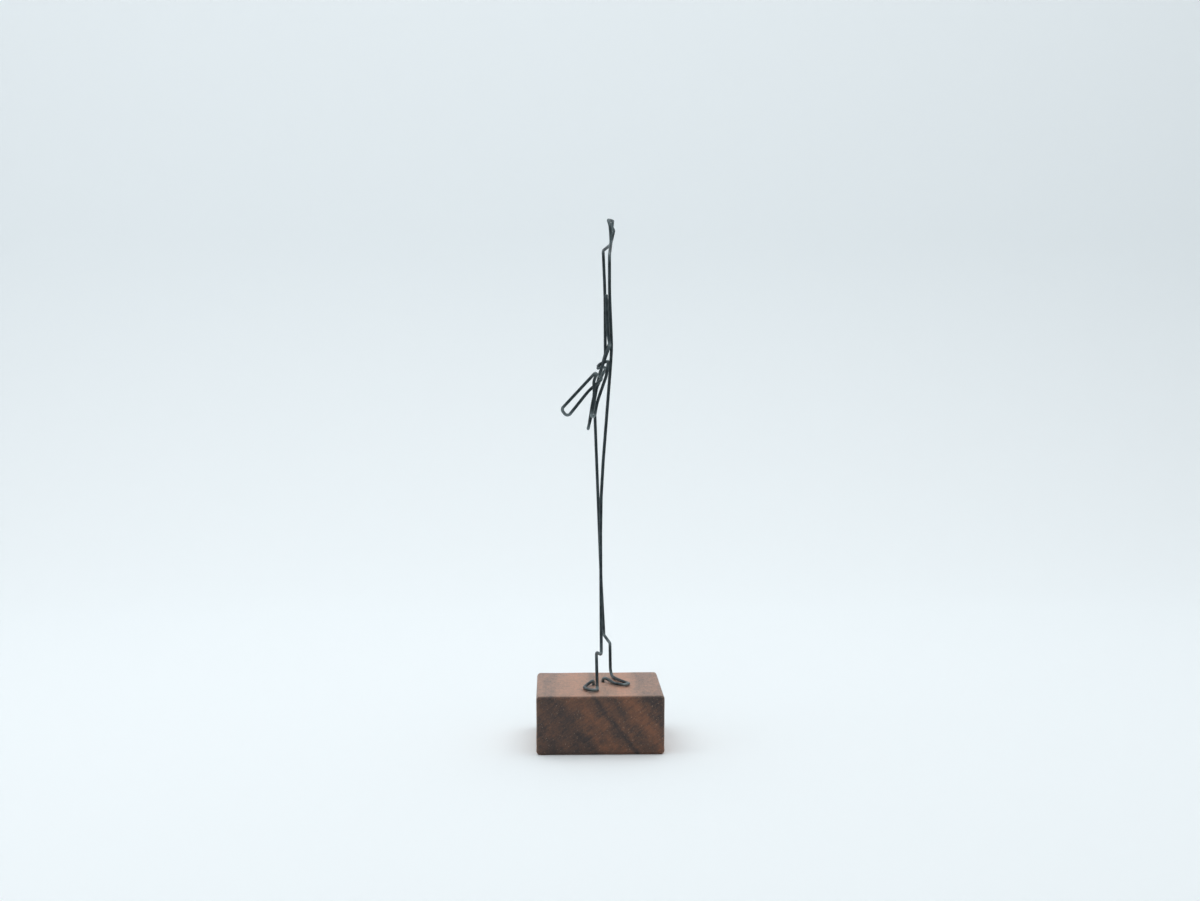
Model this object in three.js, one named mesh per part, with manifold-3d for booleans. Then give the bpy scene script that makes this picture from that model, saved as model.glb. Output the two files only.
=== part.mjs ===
// Standing figure bent from steel wire, on a hardwood block.
// Millimetres, +Z up, origin at the centre of the block's underside.
// The figure faces -X, so its left side lies towards -Y and its right side towards +Y.
import * as THREE from "three";
import { RoundedBoxGeometry } from "three/addons/geometries/RoundedBoxGeometry.js";
import { mergeVertices } from "three/addons/utils/BufferGeometryUtils.js";
import Module from "manifold-3d";

// Plinth.
const BLOCK_WIDTH = 60;
const BLOCK_DEPTH = 60;
const BLOCK_HEIGHT = 27.7;
const BLOCK_EDGE = 1.5; // radius of the eased edges
const EDGE_STEPS = 3;

// Wire.
const WIRE = 1.5; // diameter
const WIRE_SIDES = 8;
const GAP = 0.3; // kept between pieces that touch
const REST = WIRE / 2 + GAP; // height of a wire's middle where it lies on the block
const TIGHT = 1.2; // radius of a sharp bend made with pliers
const ROUND = 4; // radius of a bend made round a finger or a rod
const ARC_STEP = THREE.MathUtils.degToRad(10); // longest arc between two rings of the wire

// Holes that take the two ends of the body wire.
const HOLE_RADIUS = WIRE / 2 + 0.35;
const HOLE_DEPTH = 11;
const PEG_DEPTH = 10; // how far a wire goes down its hole
const HOLE_SIDES = 16;
const LEFT_HOLE = { x: -2.6, y: -3.4 };
const RIGHT_HOLE = { x: 2.2, y: 4.2 };

// Heights of the body over the block, and half the distance between its two sides there.
const HEAD_TOP = 223.05;
const NECK = 211.8;
const SHOULDER = { height: 205.6, half: 15.2 };
const CHEST = { height: 188, half: 13.2 };
const WAIST = { height: 162.5, half: 10.4 };
const SKIRT = { height: 92, half: 17.2 };
const HEM = { height: 18.2, half: 22 };
const ANKLE_HALF = 16.6;

// A stop on a wire's way: a corner of the given bend radius, h above the block.
function corner(x, y, h, bend = TIGHT) {
  return { at: new THREE.Vector3(x, y, BLOCK_HEIGHT + h), bend };
}

// The wire's middle line: straight runs joined by arcs of each corner's bend radius.
// Rings are set only where the line turns, so straight runs stay light.
class WireLine extends THREE.Curve {
  constructor(corners) {
    super();
    this.points = [];
    this.tangents = [];
    const last = corners.length - 1;
    const way = (i) => corners[i + 1].at.clone().sub(corners[i].at);
    this.ring(corners[0].at, way(0).normalize());
    for (let i = 1; i < last; i += 1) {
      const before = way(i - 1);
      const after = way(i);
      const roomBefore = before.length() * (i > 1 ? 0.5 : 1);
      const roomAfter = after.length() * (i < last - 1 ? 0.5 : 1);
      const from = before.normalize();
      const to = after.normalize();
      const turn = from.angleTo(to);
      const cut = Math.min(corners[i].bend * Math.tan(turn / 2), roomBefore, roomAfter);
      const radius = cut / Math.tan(turn / 2);
      const start = corners[i].at.clone().addScaledVector(from, -cut);
      const inward = to.clone().addScaledVector(from, -to.dot(from)).normalize();
      const steps = Math.max(2, Math.ceil(turn / ARC_STEP));
      for (let k = 0; k <= steps; k += 1) {
        const angle = (turn * k) / steps;
        const point = start
          .clone()
          .addScaledVector(from, radius * Math.sin(angle))
          .addScaledVector(inward, radius * (1 - Math.cos(angle)));
        const tangent = from.clone().multiplyScalar(Math.cos(angle));
        this.ring(point, tangent.addScaledVector(inward, Math.sin(angle)));
      }
    }
    this.ring(corners[last].at, way(last - 1).normalize());
  }

  ring(point, tangent) {
    const previous = this.points[this.points.length - 1];
    if (previous && previous.distanceTo(point) < 0.02) return;
    this.points.push(point);
    this.tangents.push(tangent);
  }

  index(u) {
    return Math.round(u * (this.points.length - 1));
  }

  getPoint(u) {
    return this.points[this.index(u)].clone();
  }

  getPointAt(u) {
    return this.getPoint(u);
  }

  getTangentAt(u) {
    return this.tangents[this.index(u)].clone();
  }
}

// A round wire drawn along a run of corners.
function wireGeometry(corners) {
  const line = new WireLine(corners);
  // An eight-sided section with the same area as the round wire.
  const area = Math.PI * (WIRE / 2) ** 2;
  const reach = Math.sqrt((2 * area) / (WIRE_SIDES * Math.sin((2 * Math.PI) / WIRE_SIDES)));
  const section = new THREE.Shape();
  for (let k = 0; k < WIRE_SIDES; k += 1) {
    const angle = (2 * Math.PI * k) / WIRE_SIDES;
    const method = k === 0 ? "moveTo" : "lineTo";
    section[method](reach * Math.cos(angle), reach * Math.sin(angle));
  }
  section.closePath();
  return new THREE.ExtrudeGeometry(section, {
    steps: line.points.length - 1,
    extrudePath: line,
    bevelEnabled: false,
  });
}

// Corners of a wire end wound nearly half round the straight run from `top` to `bottom`.
// `from` and `to` are the fractions of the run where the winding starts and ends, and `inner`
// is the sign of the turn that brings it round behind the forearm.
function wound(top, bottom, from, to, inner) {
  const clear = WIRE + 0.45;
  const turnFrom = THREE.MathUtils.degToRad(10);
  const turnBy = THREE.MathUtils.degToRad(150);
  const parts = 4;
  const run = bottom.at.clone().sub(top.at);
  const axis = run.clone().normalize();
  const right = new THREE.Vector3(1, 0, 0).addScaledVector(axis, -axis.x).normalize();
  const back = axis.clone().cross(right).multiplyScalar(inner);
  const reach = clear / Math.cos(turnBy / parts / 2);
  const corners = [];
  for (let k = 0; k <= parts; k += 1) {
    const angle = turnFrom + (turnBy * k) / parts;
    const at = top.at
      .clone()
      .addScaledVector(run, from + ((to - from) * k) / parts)
      .addScaledVector(right, reach * Math.cos(angle))
      .addScaledVector(back, reach * Math.sin(angle));
    corners.push({ at, bend: clear });
  }
  return corners;
}

// Left foot: out of its hole, back round the outside, and along the front to the ankle.
function leftFoot() {
  return [
    corner(LEFT_HOLE.x, LEFT_HOLE.y, -PEG_DEPTH),
    corner(LEFT_HOLE.x, LEFT_HOLE.y, 2.5),
    corner(-6.2, -9, REST, ROUND),
    corner(-7.4, -14, REST, ROUND),
    corner(-5.6, -20, REST, ROUND),
    corner(-1.2, -21, REST),
    corner(-1.2, -ANKLE_HALF, REST),
  ];
}

// Right foot: a long narrow loop, listed from the ankle to its hole.
function rightFoot() {
  return [
    corner(6.3, ANKLE_HALF, REST, ROUND),
    corner(8.2, 8, REST, 12),
    corner(11.2, 1, REST, 20),
    corner(14.4, -5.8, REST),
    corner(12.6, -9.2, REST),
    corner(7.2, -4.8, REST, 8),
    corner(5.2, 2.4, REST + 0.2, ROUND),
    corner(RIGHT_HOLE.x, RIGHT_HOLE.y, 2.4),
    corner(RIGHT_HOLE.x, RIGHT_HOLE.y, -PEG_DEPTH),
  ];
}

// Left side from the ankle up to the neck: a step out to the hem, then in to the waist.
function leftSide() {
  return [
    corner(-1.6, -ANKLE_HALF, HEM.height + 0.1),
    corner(0.57, -HEM.half, HEM.height),
    corner(0.3, -SKIRT.half, SKIRT.height, 380),
    corner(5.3, -WAIST.half - 0.6, WAIST.height - 8.5, 60),
    corner(5.85, -WAIST.half, WAIST.height, 40),
    corner(4.7, -CHEST.half, CHEST.height, 200),
    corner(4.6, -SHOULDER.half, SHOULDER.height),
    corner(5.75, -2.2, NECK),
  ];
}

// Head: one oval loop, its crown leaning a little to the side.
function head() {
  const half = 5.8; // half the width of the loop
  const brow = HEAD_TOP - 3;
  const jaw = NECK + 3;
  return [
    corner(5.6, -half, jaw, ROUND),
    corner(5.2, -half, brow, ROUND),
    corner(4.45, -half / 2, HEAD_TOP),
    corner(6.8, half / 2, HEAD_TOP),
    corner(6.6, half, brow, ROUND),
    corner(7.5, half, jaw + 4, ROUND),
    corner(5.7, 2.6, NECK - 0.2),
  ];
}

// Right side from the neck down to the ankle. It bows in at the hip.
function rightSide() {
  return [
    corner(2.6, SHOULDER.half, SHOULDER.height + 4.2),
    corner(3.4, CHEST.half - 0.4, CHEST.height + 2, 200),
    corner(3.5, WAIST.half - 0.1, WAIST.height - 3, ROUND),
    corner(-1.9, WAIST.half + 0.6, WAIST.height - 23, 30),
    corner(1.8, SKIRT.half + 0.8, SKIRT.height / 2, 60),
    corner(3.2, HEM.half - 2, HEM.height + 2.2),
    corner(6, ANKLE_HALF - 1, HEM.height - 1.2),
  ];
}

// Left arm: a free upper end, an elbow at the waist, a hand of two hairpins and a wound end.
function leftArm() {
  const elbow = corner(4.9, -12.55, WAIST.height + 1.1, 1.6);
  const wrist = corner(0, -5.6, WAIST.height - 13.2, 1);
  return [
    corner(3.1, -SHOULDER.half, CHEST.height - 0.8),
    corner(3.9, -CHEST.half, WAIST.height + 6.2, 60),
    elbow,
    wrist,
    corner(1.5, -4.6, WAIST.height - 14.9, 1),
    // Hairpin that reaches forward.
    corner(-5, -4.4, 141.8, 20),
    corner(-15.1, -5, 129.2, 1.8),
    corner(-18, -5.2, 133.1, 1.8),
    corner(-0.2, -8.8, 152.3, 1),
    // Hairpin that hangs down.
    corner(-2.6, -8.8, 146.6, 6),
    corner(-2.3, -8.8, 140, 60),
    corner(-4, -8.8, 129.8),
    corner(-2.1, -6.2, 129.8),
    corner(-1, -6.2, 136.3, 30),
    corner(3.4, -7.3, 149, 6),
    ...wound(elbow, wrist, 0.5, 0.78, -1),
  ];
}

// Right arm: the same bends mirrored, with one hairpin hanging down.
function rightArm() {
  const elbow = corner(5.5, 10.4, WAIST.height + 2.3, 1.6);
  const wrist = corner(-0.2, 2, WAIST.height - 15.5, 10);
  return [
    corner(4.4, SHOULDER.half, CHEST.height - 1.7),
    corner(4.9, CHEST.half, WAIST.height + 7.5, 60),
    elbow,
    wrist,
    corner(-2.9, 1.2, 132.3, 60),
    corner(-5.2, 2.2, 123, 1.3),
    corner(-4.7, 4.9, 124.2, 1.3),
    corner(-2.2, 5.4, 140, 30),
    corner(2.4, 7.6, 150.3, 5),
    ...wound(elbow, wrist, 0.66, 0.74, 1),
  ];
}

const wasm = await Module();
wasm.setup();

// A geometry as a manifold-3d solid.
function solidOf(geometry) {
  const bare = geometry.clone();
  bare.deleteAttribute("normal");
  bare.deleteAttribute("uv");
  const merged = mergeVertices(bare, 1e-3);
  const mesh = new wasm.Mesh({
    numProp: 3,
    vertProperties: merged.attributes.position.array,
    triVerts: new Uint32Array(merged.index.array),
  });
  return new wasm.Manifold(mesh);
}

// A manifold-3d solid as a geometry.
function geometryOf(solid) {
  const mesh = solid.getMesh();
  const geometry = new THREE.BufferGeometry();
  geometry.setAttribute("position", new THREE.BufferAttribute(mesh.vertProperties, 3));
  geometry.setIndex(new THREE.BufferAttribute(mesh.triVerts, 1));
  geometry.computeVertexNormals();
  return geometry;
}

// Plinth with its eased edges and the two blind holes.
function blockGeometry() {
  const box = new RoundedBoxGeometry(
    BLOCK_WIDTH, BLOCK_DEPTH, BLOCK_HEIGHT, EDGE_STEPS, BLOCK_EDGE,
  );
  box.translate(0, 0, BLOCK_HEIGHT / 2);
  let solid = solidOf(box);
  for (const hole of [LEFT_HOLE, RIGHT_HOLE]) {
    const over = 2;
    const drill = new THREE.CylinderGeometry(
      HOLE_RADIUS, HOLE_RADIUS, HOLE_DEPTH + over, HOLE_SIDES,
    );
    drill.rotateX(Math.PI / 2);
    drill.translate(hole.x, hole.y, BLOCK_HEIGHT + (over - HOLE_DEPTH) / 2);
    solid = solid.subtract(solidOf(drill));
  }
  return geometryOf(solid);
}

const group = new THREE.Group();

function add(name, geometry, color, roughness, metalness) {
  const material = new THREE.MeshStandardMaterial({ color, roughness, metalness });
  const mesh = new THREE.Mesh(geometry, material);
  mesh.name = name;
  group.add(mesh);
}

const bodyCorners = [...leftFoot(), ...leftSide(), ...head(), ...rightSide(), ...rightFoot()];
add("wood_block", blockGeometry(), 0x5a3f34, 0.55, 0);
add("body_wire", wireGeometry(bodyCorners), 0x343b3d, 0.5, 0.9);
add("left_arm_wire", wireGeometry(leftArm()), 0x3a4142, 0.5, 0.9);
add("right_arm_wire", wireGeometry(rightArm()), 0x3a4142, 0.5, 0.9);

export default group;
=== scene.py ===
# Standing figure bent from blackened steel wire, set in an oiled hardwood block.
# Metres, +Z up, origin at the centre of the block's underside. The figure faces -X.
import math
import bpy
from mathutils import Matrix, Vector, kdtree


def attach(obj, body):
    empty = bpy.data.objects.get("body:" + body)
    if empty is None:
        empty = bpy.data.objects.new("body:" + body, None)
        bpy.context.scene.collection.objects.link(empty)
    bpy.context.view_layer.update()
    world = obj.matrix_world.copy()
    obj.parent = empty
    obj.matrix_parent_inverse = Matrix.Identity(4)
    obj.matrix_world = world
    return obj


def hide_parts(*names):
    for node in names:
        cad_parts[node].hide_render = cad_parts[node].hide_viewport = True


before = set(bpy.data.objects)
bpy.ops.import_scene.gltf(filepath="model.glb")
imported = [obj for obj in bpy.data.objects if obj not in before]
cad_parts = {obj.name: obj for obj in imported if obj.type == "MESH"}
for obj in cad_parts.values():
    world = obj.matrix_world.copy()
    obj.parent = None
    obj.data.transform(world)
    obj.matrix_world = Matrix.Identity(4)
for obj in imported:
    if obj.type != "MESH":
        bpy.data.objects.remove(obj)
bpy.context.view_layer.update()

MM = 0.001

# Sizes of the plinth and the wire, in millimetres, as in the solids.
BLOCK_WIDTH = 60
BLOCK_HEIGHT = 27.7
BLOCK_EDGE = 1.7
WIRE = 1.5
GAP = 0.3
REST = WIRE / 2 + GAP
TIGHT = 1.2
ROUND = 4
HOLE_RADIUS = WIRE / 2 + 0.3
HOLE_DEPTH = 11
PEG_DEPTH = 10
LEFT_HOLE = (-2.6, -3.4)
RIGHT_HOLE = (2.2, 4.2)

# Heights over the block, and half the distance between the two sides there.
HEAD_TOP = 223.05
NECK = 211.8
SHOULDER, SHOULDER_HALF = 205.6, 15.2
CHEST, CHEST_HALF = 188, 13.2
WAIST, WAIST_HALF = 162.5, 10.4
SKIRT, SKIRT_HALF = 92, 17.2
HEM, HEM_HALF = 18.2, 22
ANKLE_HALF = 16.6


# ---------------------------------------------------------------- camera and light

def place_camera():
    data = bpy.data.cameras.new("camera")
    camera = bpy.data.objects.new("camera", data)
    bpy.context.collection.objects.link(camera)
    data.lens = 48
    data.sensor_width = 36
    data.clip_start = 0.01
    camera.location = (-0.02241, -0.7679, 0.18105)
    camera.rotation_euler = (math.radians(90 - 2.998), 0, math.radians(-1.718))
    bpy.context.scene.camera = camera


def linear(code):
    """A hex sRGB colour as linear red, green, blue and alpha."""
    parts = [int(code[i:i + 2], 16) / 255 for i in (1, 3, 5)]
    return [c / 12.92 if c <= 0.04045 else ((c + 0.055) / 1.055) ** 2.4 for c in parts] + [1.0]


def soft_box(name, place, aim, width, height, power, colour="#ffffff"):
    data = bpy.data.lights.new(name, "AREA")
    data.shape = "RECTANGLE"
    data.size = width
    data.size_y = height
    data.energy = power
    data.color = linear(colour)[:3]
    lamp = bpy.data.objects.new(name, data)
    bpy.context.collection.objects.link(lamp)
    lamp.location = place
    lamp.rotation_euler = (Vector(aim) - Vector(place)).to_track_quat("-Z", "Y").to_euler()


def deselect():
    bpy.ops.object.select_all(action="DESELECT")


# ---------------------------------------------------------------- materials

def add_node(tree, kind, inputs=None, **settings):
    """One node with its settings; inputs are values or sockets to link, by name or number."""
    made = tree.nodes.new(kind)
    for key, value in settings.items():
        setattr(made, key, value)
    for key, value in (inputs or {}).items():
        if isinstance(value, bpy.types.NodeSocket):
            tree.links.new(value, made.inputs[key])
        else:
            made.inputs[key].default_value = value
    return made


def new_material(name):
    material = bpy.data.materials.new(name)
    material.use_nodes = True
    tree = material.node_tree
    tree.nodes.clear()
    surface = add_node(tree, "ShaderNodeBsdfPrincipled")
    add_node(tree, "ShaderNodeOutputMaterial", {"Surface": surface.outputs[0]})
    return material, tree, surface


def ramp(tree, value, stops):
    """A colour ramp through (position, hex colour) stops."""
    made = add_node(tree, "ShaderNodeValToRGB", {0: value})
    elements = made.color_ramp.elements
    while len(elements) < len(stops):
        elements.new(0.5)
    for element, (position, code) in zip(elements, stops):
        element.position = position
        element.color = linear(code)
    return made.outputs["Color"]


def steel_material():
    """Black annealed steel wire, hardened by bending and left unpainted. The drawing and the oven
    leave a thin blue-black scale: satin, a little mottled, with faint lines along the wire. The
    colour is painted paler at the tight bends and the cut ends: a painted highlight, with some wear
    from the pliers."""
    material, tree, surface = new_material("blackened_steel")
    place = add_node(tree, "ShaderNodeTexCoord").outputs["Object"]
    along = add_node(tree, "ShaderNodeAttribute", attribute_name="along").outputs["Vector"]
    bend_highlight_and_wear = add_node(tree, "ShaderNodeAttribute", attribute_name="bend_highlight_and_wear").outputs["Fac"]
    # Scale mottled in patches about 3 mm across.
    patches = add_node(tree, "ShaderNodeTexNoise", {
        "Vector": place, "Scale": 1 / (3 * MM), "Detail": 5, "Roughness": 0.6})
    # Lines from the drawing die, a tenth of a millimetre apart and many millimetres long.
    lines = add_node(tree, "ShaderNodeTexNoise", {
        "Vector": along, "Scale": 5, "Detail": 3, "Roughness": 0.55})
    mixed = add_node(tree, "ShaderNodeMath", {
        0: patches.outputs["Fac"], 1: lines.outputs["Fac"]}, operation="ADD").outputs[0]
    average = add_node(tree, "ShaderNodeMath", {0: mixed, 1: 0.5}, operation="MULTIPLY").outputs[0]
    colour = ramp(tree, average, [(0.36, "#232a2c"), (0.5, "#363e41"), (0.62, "#4a5457")])
    # Paler at the tight bends and cut ends: a painted highlight, with some wear from the pliers.
    highlight_and_wear_amount = add_node(tree, "ShaderNodeMath", {0: bend_highlight_and_wear, 1: patches.outputs["Fac"]},
                      operation="MULTIPLY").outputs[0]
    highlight_and_wear_colour = add_node(tree, "ShaderNodeMix", {
        "Factor": highlight_and_wear_amount, 6: colour, 7: linear("#8e9a9c")}, data_type="RGBA").outputs[2]
    tree.links.new(highlight_and_wear_colour, surface.inputs["Base Color"])
    surface.inputs["Metallic"].default_value = 0.85
    rough = add_node(tree, "ShaderNodeMapRange", {
        "Value": patches.outputs["Fac"], "From Min": 0.3, "From Max": 0.7,
        "To Min": 0.34, "To Max": 0.52})
    tree.links.new(rough.outputs[0], surface.inputs["Roughness"])
    bump = add_node(tree, "ShaderNodeBump", {
        "Height": mixed, "Strength": 0.35, "Distance": 0.05 * MM})
    tree.links.new(bump.outputs[0], surface.inputs["Normal"])
    return material


def wood_material():
    """A dark open-pored tropical hardwood, sanded and oiled, with no film on it. The grain runs
    from front to back, so the front and back are end grain: pores as dots, fine light rays
    rising to the right and dark growth rings falling to the right. The top and sides are long
    grain, with the pores as short dark dashes, and are painted lighter than the end grain: partly the
    wood's own tone, partly painted light and oil sheen."""
    material, tree, surface = new_material("oiled_hardwood")
    place = add_node(tree, "ShaderNodeTexCoord").outputs["Object"]

    def math_of(operation, a, b=0.0):
        return add_node(tree, "ShaderNodeMath", {0: a, 1: b}, operation=operation).outputs[0]

    def noise(vector, scale, detail=3, roughness=0.55, distortion=0.0):
        return add_node(tree, "ShaderNodeTexNoise", {
            "Vector": vector, "Scale": scale, "Detail": detail, "Roughness": roughness,
            "Distortion": distortion}).outputs["Fac"]

    # The grain runs along Y. On the end grain, `across` rises through the growth rings and
    # `round_ring` runs along them.
    across = add_node(tree, "ShaderNodeVectorMath", {0: place, 1: (0.8, 0, 0.6)},
                      operation="DOT_PRODUCT").outputs["Value"]
    round_ring = add_node(tree, "ShaderNodeVectorMath", {0: place, 1: (-0.6, 0, 0.8)},
                          operation="DOT_PRODUCT").outputs["Value"]
    depth = add_node(tree, "ShaderNodeSeparateXYZ", {0: place}).outputs["Y"]

    def grain_space(a, along, b):
        """A place measured across the rings, along the grain and round the rings, each scaled."""
        return add_node(tree, "ShaderNodeCombineXYZ", {
            0: math_of("MULTIPLY", across, a), 1: math_of("MULTIPLY", depth, along),
            2: math_of("MULTIPLY", round_ring, b)}).outputs[0]

    # Growth rings: dark late wood at uneven distances, each a few millimetres thick and wavy.
    sway = noise(grain_space(1.0, 0.1, 1.0), 1 / (7 * MM), 3, 0.55)
    sway = math_of("MULTIPLY", math_of("SUBTRACT", sway, 0.5), 7 * MM)
    ring_place = math_of("ADD", across, sway)
    ring_place = add_node(tree, "ShaderNodeMapRange", {
        "Value": ring_place, "From Min": -24 * MM, "From Max": 42 * MM}).outputs[0]
    rings = ramp(tree, ring_place, [
        (0.0, "#9a9a9a"), (0.12, "#4c4c4c"), (0.2, "#8c8c8c"), (0.34, "#555555"),
        (0.4, "#a0a0a0"), (0.5, "#b4b4b4"), (0.545, "#909090"), (0.572, "#181818"),
        (0.6, "#a8a8a8"), (0.66, "#7a7a7a"), (0.75, "#c8c8c8"), (0.8, "#b0b0b0"),
        (0.86, "#484848"), (0.92, "#6a6a6a"), (1.0, "#5a5a5a")])
    # Rays: thin streaks about a millimetre apart that cross the rings on the end grain.
    rays = noise(grain_space(0.14, 0.3, 1.0), 1 / (1.0 * MM), 3, 0.6)
    # Fibre speckle, drawn as coarse as half a millimetre so that it shows.
    fibre = noise(grain_space(1.0, 0.25, 1.0), 1 / (0.6 * MM), 3, 0.7)
    broad = noise(grain_space(1.0, 0.3, 0.8), 1 / (3.5 * MM), 3, 0.6)
    # Pores: dots on the end grain, dashes about 3 mm long on the long grain, gathered in rows
    # in the early wood.
    cells = add_node(tree, "ShaderNodeTexVoronoi", {
        "Vector": grain_space(1.0, 0.25, 1.0), "Scale": 1 / (1.1 * MM),
        "Randomness": 1.0}).outputs["Distance"]
    pores = add_node(tree, "ShaderNodeMapRange", {
        "Value": cells, "From Min": 0.12, "From Max": 0.26, "To Min": 1.0, "To Max": 0.0}).outputs[0]
    gathered = add_node(tree, "ShaderNodeMapRange", {
        "Value": math_of("ADD", rings, math_of("MULTIPLY", broad, 0.3)),
        "From Min": 0.5, "From Max": 0.25, "To Min": 0.2, "To Max": 1.0}).outputs[0]
    pores = math_of("MULTIPLY", pores, gathered)
    # Pale flecks where wax or dust sits in some of the open pores.
    flecks = noise(place, 1 / (0.7 * MM), 1, 0.5)
    flecks = add_node(tree, "ShaderNodeMapRange", {
        "Value": flecks, "From Min": 0.68, "From Max": 0.74}).outputs[0]

    tone = math_of("ADD", math_of("MULTIPLY", rings, 0.42), math_of("MULTIPLY", fibre, 0.34))
    tone = math_of("ADD", tone, math_of("MULTIPLY", rays, 0.34))
    tone = math_of("ADD", tone, math_of("MULTIPLY", broad, 0.3))
    # End grain darker and long grain lighter, picked by which way each face points. This is partly the
    # wood's own tone, where end grain takes more oil. It is partly painted light: a painted sheen on
    # the top and painted shade on the front.
    end_grain_shaded_colour = ramp(tree, tone, [
        (0.4, "#2a2423"), (0.52, "#40312c"), (0.63, "#5a4033"), (0.76, "#7a503a")])
    long_grain_and_sheen_colour = ramp(tree, tone, [
        (0.38, "#6a5b55"), (0.5, "#8a7063"), (0.63, "#a98471"), (0.78, "#c09079")])
    facing = add_node(tree, "ShaderNodeSeparateXYZ", {
        0: add_node(tree, "ShaderNodeNewGeometry").outputs["Normal"]}).outputs["Y"]
    end_grain_shade_mask = add_node(tree, "ShaderNodeMapRange", {
        "Value": math_of("ABSOLUTE", facing), "From Min": 0.2, "From Max": 0.7}).outputs[0]
    colour = add_node(tree, "ShaderNodeMix", {
        "Factor": end_grain_shade_mask, 6: long_grain_and_sheen_colour, 7: end_grain_shaded_colour}, data_type="RGBA").outputs[2]
    colour = add_node(tree, "ShaderNodeMix", {
        "Factor": math_of("MULTIPLY", pores, 0.7), 6: colour, 7: linear("#2a2321")},
        data_type="RGBA").outputs[2]
    colour = add_node(tree, "ShaderNodeMix", {
        "Factor": math_of("MULTIPLY", flecks, 0.45), 6: colour, 7: linear("#a8907c")},
        data_type="RGBA").outputs[2]
    tree.links.new(colour, surface.inputs["Base Color"])
    rough = add_node(tree, "ShaderNodeMapRange", {
        "Value": tone, "From Min": 0.4, "From Max": 0.7, "To Min": 0.5, "To Max": 0.6})
    tree.links.new(rough.outputs[0], surface.inputs["Roughness"])
    surface.inputs["IOR"].default_value = 1.48
    height = math_of("SUBTRACT", math_of("MULTIPLY", fibre, 0.6), pores)
    bump = add_node(tree, "ShaderNodeBump", {"Height": height, "Strength": 0.6, "Distance": 0.15 * MM})
    tree.links.new(bump.outputs[0], surface.inputs["Normal"])
    return material


def floor_material():
    """Matt white paper, plain, so that the wire stands out against it."""
    material, tree, surface = new_material("paper_sweep")
    surface.inputs["Base Color"].default_value = linear("#f4f8fa")
    surface.inputs["Roughness"].default_value = 0.9
    return material


# ---------------------------------------------------------------- wire

def corner(x, y, h, bend=TIGHT):
    """A corner of a wire, h above the block, in millimetres, with its bend radius."""
    return Vector((x, y, BLOCK_HEIGHT + h)), bend


def wire_line(corners, arc_step=math.radians(6), longest=1.0):
    """Points along a wire's middle, its directions, and how sharply it turns at each."""
    points, ways, sharp = [], [], []

    def put(point, way, turn):
        if points and (point - points[-1]).length < 0.02:
            return
        if points:
            run = point - points[-1]
            parts = math.ceil(run.length / longest)
            start = points[-1]
            for k in range(1, parts):
                points.append(start + run * (k / parts))
                ways.append(run.normalized())
                sharp.append(0.0)
        points.append(point)
        ways.append(way)
        sharp.append(turn)

    last = len(corners) - 1
    put(corners[0][0], (corners[1][0] - corners[0][0]).normalized(), 0.0)
    for i in range(1, last):
        at, bend = corners[i]
        before = at - corners[i - 1][0]
        after = corners[i + 1][0] - at
        room_before = before.length * (0.5 if i > 1 else 1)
        room_after = after.length * (0.5 if i < last - 1 else 1)
        start_way = before.normalized()
        end_way = after.normalized()
        turn = start_way.angle(end_way)
        cut = min(bend * math.tan(turn / 2), room_before, room_after)
        radius = cut / math.tan(turn / 2)
        inward = (end_way - start_way * start_way.dot(end_way)).normalized()
        steps = max(2, math.ceil(turn / arc_step))
        for k in range(steps + 1):
            angle = turn * k / steps
            point = (at - start_way * cut + start_way * (radius * math.sin(angle))
                     + inward * (radius * (1 - math.cos(angle))))
            way = start_way * math.cos(angle) + inward * math.sin(angle)
            put(point, way, min(1.0, 1.5 / radius) if turn > 0.5 else 0.0)
    put(corners[last][0], (corners[last][0] - corners[last - 1][0]).normalized(), 0.0)
    return points, ways, sharp


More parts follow.
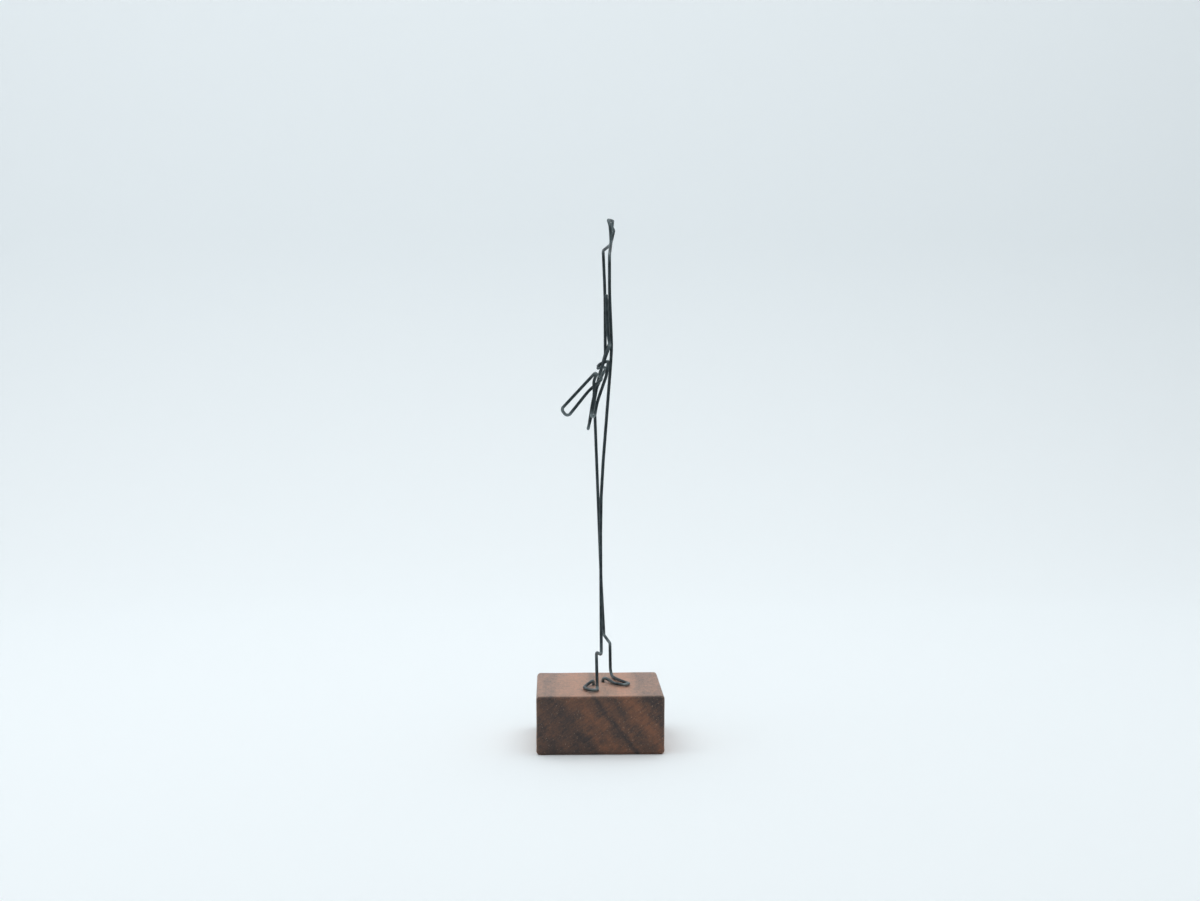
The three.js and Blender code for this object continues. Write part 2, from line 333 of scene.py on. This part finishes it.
def bend_wire(name, corners, material):
    """Draws a round wire along its corners, with nipped ends, and keeps for each place on it how far
    along and how far round it lies, and how much painted highlight and plier wear it gets at the bends."""
    points, ways, sharp = wire_line(corners)
    # The cutters leave each end slightly rounded over.
    nip = 0.22
    cut_radius = 0.72
    # The cut ends get the same painted highlight and wear.
    cut_end_highlight_and_wear = 0.6
    first = [points[0], points[0] + ways[0] * nip]
    final = [points[-1] - ways[-1] * nip, points[-1]]
    points = first + points[1:-1] + final
    ways = [ways[0]] + ways + [ways[-1]]
    sharp = [cut_end_highlight_and_wear] + sharp + [cut_end_highlight_and_wear]
    curve = bpy.data.curves.new(name, "CURVE")
    curve.dimensions = "3D"
    curve.twist_mode = "MINIMUM"
    curve.bevel_depth = WIRE / 2 * MM
    curve.bevel_resolution = 6
    curve.use_fill_caps = True
    spline = curve.splines.new("POLY")
    spline.points.add(len(points) - 1)
    for at, point in zip(spline.points, points):
        at.co = (*(point * MM), 1)
    spline.points[0].radius = cut_radius
    spline.points[-1].radius = cut_radius
    wire = bpy.data.objects.new(name, curve)
    bpy.context.collection.objects.link(wire)
    deselect()
    wire.select_set(True)
    bpy.context.view_layer.objects.active = wire
    bpy.ops.object.convert(target="MESH")
    wire = bpy.context.active_object
    wire.name = name
    bpy.ops.object.mode_set(mode="EDIT")
    bpy.ops.mesh.select_all(action="SELECT")
    bpy.ops.mesh.remove_doubles(threshold=0.005 * MM)
    bpy.ops.mesh.normals_make_consistent(inside=False)
    bpy.ops.object.mode_set(mode="OBJECT")
    bpy.ops.object.shade_smooth_by_angle(angle=math.radians(40))

    # How far along and how far round each vertex lies, from a frame carried along the wire.
    # The way along is shrunk, so that the drawing lines come out long.
    shrink = 0.08
    side = ways[0].orthogonal().normalized()
    sides = []
    lengths = [0.0]
    for i, way in enumerate(ways):
        side = (side - way * side.dot(way)).normalized()
        sides.append(side.copy())
        if i:
            lengths.append(lengths[-1] + (points[i] - points[i - 1]).length)
    tree = kdtree.KDTree(len(points))
    for i, point in enumerate(points):
        tree.insert(point * MM, i)
    tree.balance()
    mesh = wire.data
    mesh.attributes.new("along", "FLOAT_VECTOR", "POINT")
    mesh.attributes.new("bend_highlight_and_wear", "FLOAT", "POINT")
    along = mesh.attributes["along"]
    bend_highlight_and_wear = mesh.attributes["bend_highlight_and_wear"]
    for vertex in mesh.vertices:
        _, i, _ = tree.find(vertex.co)
        out = vertex.co / MM - points[i]
        across = ways[i].cross(sides[i])
        angle = math.atan2(out.dot(across), out.dot(sides[i]))
        along.data[vertex.index].vector = (lengths[i] * shrink, math.cos(angle), math.sin(angle))
        # Painted highlight and plier wear, strongest near tight bends and at the cut ends.
        near = sharp[max(0, i - 2):i + 3]
        bend_highlight_and_wear.data[vertex.index].value = sum(near) / len(near)
    mesh.materials.clear()
    mesh.materials.append(material)
    return wire


def wound(top, bottom, start, end, inner):
    """Corners of a wire end wound nearly half round the straight run from top to bottom."""
    clear = WIRE + 0.45
    turn_from = math.radians(10)
    turn_by = math.radians(150)
    parts = 4
    run = bottom[0] - top[0]
    axis = run.normalized()
    right = (Vector((1, 0, 0)) - axis * axis.x).normalized()
    back = axis.cross(right) * inner
    reach = clear / math.cos(turn_by / parts / 2)
    corners = []
    for k in range(parts + 1):
        angle = turn_from + turn_by * k / parts
        at = (top[0] + run * (start + (end - start) * k / parts)
              + right * (reach * math.cos(angle)) + back * (reach * math.sin(angle)))
        corners.append((at, clear))
    return corners


def left_foot():
    """Out of its hole, back round the outside, and along the front to the ankle."""
    return [
        corner(*LEFT_HOLE, -PEG_DEPTH),
        corner(*LEFT_HOLE, 2.5),
        corner(-6.2, -9, REST, ROUND),
        corner(-7.4, -14, REST, ROUND),
        corner(-5.6, -20, REST, ROUND),
        corner(-1.2, -21, REST),
        corner(-1.2, -ANKLE_HALF, REST),
    ]


def right_foot():
    """A long narrow loop, listed from the ankle to its hole."""
    return [
        corner(6.3, ANKLE_HALF, REST, ROUND),
        corner(8.2, 8, REST, 12),
        corner(11.2, 1, REST, 20),
        corner(14.4, -5.8, REST),
        corner(12.6, -9.2, REST),
        corner(7.2, -4.8, REST, 8),
        corner(5.2, 2.4, REST + 0.2, ROUND),
        corner(*RIGHT_HOLE, 2.4),
        corner(*RIGHT_HOLE, -PEG_DEPTH),
    ]


def left_side():
    """From the ankle up to the neck: a step out to the hem, then in to the waist."""
    return [
        corner(-1.6, -ANKLE_HALF, HEM + 0.1),
        corner(0.57, -HEM_HALF, HEM),
        corner(0.3, -SKIRT_HALF, SKIRT, 380),
        corner(5.3, -WAIST_HALF - 0.6, WAIST - 8.5, 60),
        corner(5.85, -WAIST_HALF, WAIST, 40),
        corner(4.7, -CHEST_HALF, CHEST, 200),
        corner(4.6, -SHOULDER_HALF, SHOULDER),
        corner(5.75, -2.2, NECK),
    ]


def head():
    """One oval loop, its crown leaning a little to the side."""
    half = 5.8
    brow = HEAD_TOP - 3
    jaw = NECK + 3
    return [
        corner(5.6, -half, jaw, ROUND),
        corner(5.2, -half, brow, ROUND),
        corner(4.45, -half / 2, HEAD_TOP),
        corner(6.8, half / 2, HEAD_TOP),
        corner(6.6, half, brow, ROUND),
        corner(7.5, half, jaw + 4, ROUND),
        corner(5.7, 2.6, NECK - 0.2),
    ]


def right_side():
    """From the neck down to the ankle. It bows in at the hip."""
    return [
        corner(2.6, SHOULDER_HALF, SHOULDER + 4.2),
        corner(3.4, CHEST_HALF - 0.4, CHEST + 2, 200),
        corner(3.5, WAIST_HALF - 0.1, WAIST - 3, ROUND),
        corner(-1.9, WAIST_HALF + 0.6, WAIST - 23, 30),
        corner(1.8, SKIRT_HALF + 0.8, SKIRT / 2, 60),
        corner(3.2, HEM_HALF - 2, HEM + 2.2),
        corner(6, ANKLE_HALF - 1, HEM - 1.2),
    ]


def left_arm():
    """A free upper end, an elbow at the waist, a hand of two hairpins and a wound end."""
    elbow = corner(4.9, -12.55, WAIST + 1.1, 1.6)
    wrist = corner(0, -5.6, WAIST - 13.2, 1)
    return [
        corner(3.1, -SHOULDER_HALF, CHEST - 0.8),
        corner(3.9, -CHEST_HALF, WAIST + 6.2, 60),
        elbow,
        wrist,
        corner(1.5, -4.6, WAIST - 14.9, 1),
        # Hairpin that reaches forward.
        corner(-5, -4.4, 141.8, 20),
        corner(-15.1, -5, 129.2, 1.8),
        corner(-18, -5.2, 133.1, 1.8),
        corner(-0.2, -8.8, 152.3, 1),
        # Hairpin that hangs down.
        corner(-2.6, -8.8, 146.6, 6),
        corner(-2.3, -8.8, 140, 60),
        corner(-4, -8.8, 129.8),
        corner(-2.1, -6.2, 129.8),
        corner(-1, -6.2, 136.3, 30),
        corner(3.4, -7.3, 149, 6),
        *wound(elbow, wrist, 0.5, 0.78, -1),
    ]


def right_arm():
    """Much the same bends on the other side, with one hairpin hanging down."""
    elbow = corner(5.5, 10.4, WAIST + 2.3, 1.6)
    wrist = corner(-0.2, 2, WAIST - 15.5, 10)
    return [
        corner(4.4, SHOULDER_HALF, CHEST - 1.7),
        corner(4.9, CHEST_HALF, WAIST + 7.5, 60),
        elbow,
        wrist,
        corner(-2.9, 1.2, 132.3, 60),
        corner(-5.2, 2.2, 123, 1.3),
        corner(-4.7, 4.9, 124.2, 1.3),
        corner(-2.2, 5.4, 140, 30),
        corner(2.4, 7.6, 150.3, 5),
        *wound(elbow, wrist, 0.66, 0.74, 1),
    ]


# ---------------------------------------------------------------- plinth

def saw_block(material):
    """A sawn block, gridded, its long edges eased and then sanded by hand, and drilled twice."""
    deselect()
    bpy.ops.mesh.primitive_cube_add(size=1, location=(0, 0, BLOCK_HEIGHT / 2 * MM))
    block = bpy.context.active_object
    block.name = "hardwood_block"
    block.scale = (BLOCK_WIDTH * MM, BLOCK_WIDTH * MM, BLOCK_HEIGHT * MM)
    bpy.ops.object.transform_apply(location=True, rotation=True, scale=True)
    bpy.ops.object.mode_set(mode="EDIT")
    bpy.ops.mesh.select_mode(type="EDGE")
    bpy.ops.mesh.select_all(action="SELECT")
    bpy.ops.mesh.subdivide(number_cuts=17)
    bpy.ops.mesh.select_all(action="DESELECT")
    bpy.ops.mesh.edges_select_sharp(sharpness=math.radians(60))
    bpy.ops.mesh.bevel(offset=BLOCK_EDGE * MM, segments=6, profile=0.5)
    bpy.ops.object.mode_set(mode="OBJECT")

    # The bandsaw and the sanding leave the faces a tenth of a millimetre out of flat.
    upper = block.vertex_groups.new(name="above_floor")
    for vertex in block.data.vertices:
        upper.add([vertex.index], min(1.0, vertex.co.z / (4 * MM)), "REPLACE")
    cloud = bpy.data.textures.new("hand_sanding", "CLOUDS")
    cloud.noise_scale = 0.014
    wobble = block.modifiers.new("hand_sanding", "DISPLACE")
    wobble.texture = cloud
    wobble.strength = 0.35 * MM
    wobble.mid_level = 0.62
    wobble.vertex_group = "above_floor"
    wobble.texture_coords = "LOCAL"
    bpy.ops.object.modifier_apply(modifier=wobble.name)

    for x, y in (LEFT_HOLE, RIGHT_HOLE):
        over = 2
        deselect()
        bpy.ops.mesh.primitive_cylinder_add(
            vertices=32, radius=HOLE_RADIUS * MM, depth=(HOLE_DEPTH + over) * MM,
            location=(x * MM, y * MM, (BLOCK_HEIGHT + (over - HOLE_DEPTH) / 2) * MM))
        drill = bpy.context.active_object
        deselect()
        block.select_set(True)
        bpy.context.view_layer.objects.active = block
        cut = block.modifiers.new("drilled_hole", "BOOLEAN")
        cut.operation = "DIFFERENCE"
        cut.solver = "EXACT"
        cut.object = drill
        bpy.ops.object.modifier_apply(modifier=cut.name)
        bpy.data.objects.remove(drill)
    bpy.ops.object.shade_smooth_by_angle(angle=math.radians(35))
    block.data.materials.clear()
    block.data.materials.append(material)
    return block


# ---------------------------------------------------------------- stage

def lay_sweep(material):
    """A white paper floor that curves up to a wall behind."""
    deselect()
    bpy.ops.mesh.primitive_plane_add(size=1, location=(0, 0, 0))
    sweep = bpy.context.active_object
    sweep.name = "paper_sweep"
    sweep.scale = (6, 2.2, 1)
    sweep.location = (0, -0.7, 0)
    bpy.ops.object.transform_apply(location=True, rotation=True, scale=True)
    bpy.ops.object.mode_set(mode="EDIT")
    bpy.ops.mesh.select_mode(type="EDGE")
    bpy.ops.mesh.select_all(action="DESELECT")
    bpy.ops.object.mode_set(mode="OBJECT")
    mesh = sweep.data
    # The far edge is drawn out round the curve and up the wall.
    for edge in mesh.edges:
        ends = [mesh.vertices[i].co.y for i in edge.vertices]
        edge.select = min(ends) > 0.3
    bpy.ops.object.mode_set(mode="EDIT")
    radius = 0.3
    steps = 16
    for k in range(steps):
        middle = math.radians(90 * (k + 0.5) / steps)
        length = 2 * radius * math.sin(math.radians(45 / steps))
        bpy.ops.mesh.extrude_region_move(TRANSFORM_OT_translate={
            "value": (0, length * math.cos(middle), length * math.sin(middle))})
    wall = 2.2
    bpy.ops.mesh.extrude_region_move(TRANSFORM_OT_translate={"value": (0, 0, wall)})
    bpy.ops.object.mode_set(mode="OBJECT")
    bpy.ops.object.shade_smooth_by_angle(angle=math.radians(40))
    mesh.materials.append(material)
    return sweep


def light_studio():
    world = bpy.data.worlds.new("studio")
    bpy.context.scene.world = world
    world.use_nodes = True
    tree = world.node_tree
    tree.nodes.clear()
    glow = add_node(tree, "ShaderNodeBackground", {"Color": linear("#eef5f8"), "Strength": 0.5})
    add_node(tree, "ShaderNodeOutputWorld", {"Surface": glow.outputs[0]})
    soft_box("overhead", (-0.05, 0.1, 1.25), (0, 0.05, 0), 2.0, 1.6, 13)
    soft_box("left_window", (-1.1, -0.3, 0.5), (0, 0, 0.12), 0.7, 0.9, 0.9, "#f2f8ff")
    bpy.context.scene.view_settings.view_transform = "Standard"


place_camera()
light_studio()
lay_sweep(floor_material())

steel = steel_material()
body = bend_wire("figure_wire", left_foot() + left_side() + head() + right_side() + right_foot(), steel)
near_arm = bend_wire("left_arm", left_arm(), steel)
far_arm = bend_wire("right_arm", right_arm(), steel)
block = saw_block(wood_material())

for piece, node, slot in (
    (body, "body_wire", "steel_wire"),
    (near_arm, "left_arm_wire", "steel_wire"),
    (far_arm, "right_arm_wire", "steel_wire"),
    (block, "wood_block", "wood"),
):
    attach(piece, "root")
    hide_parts(node)
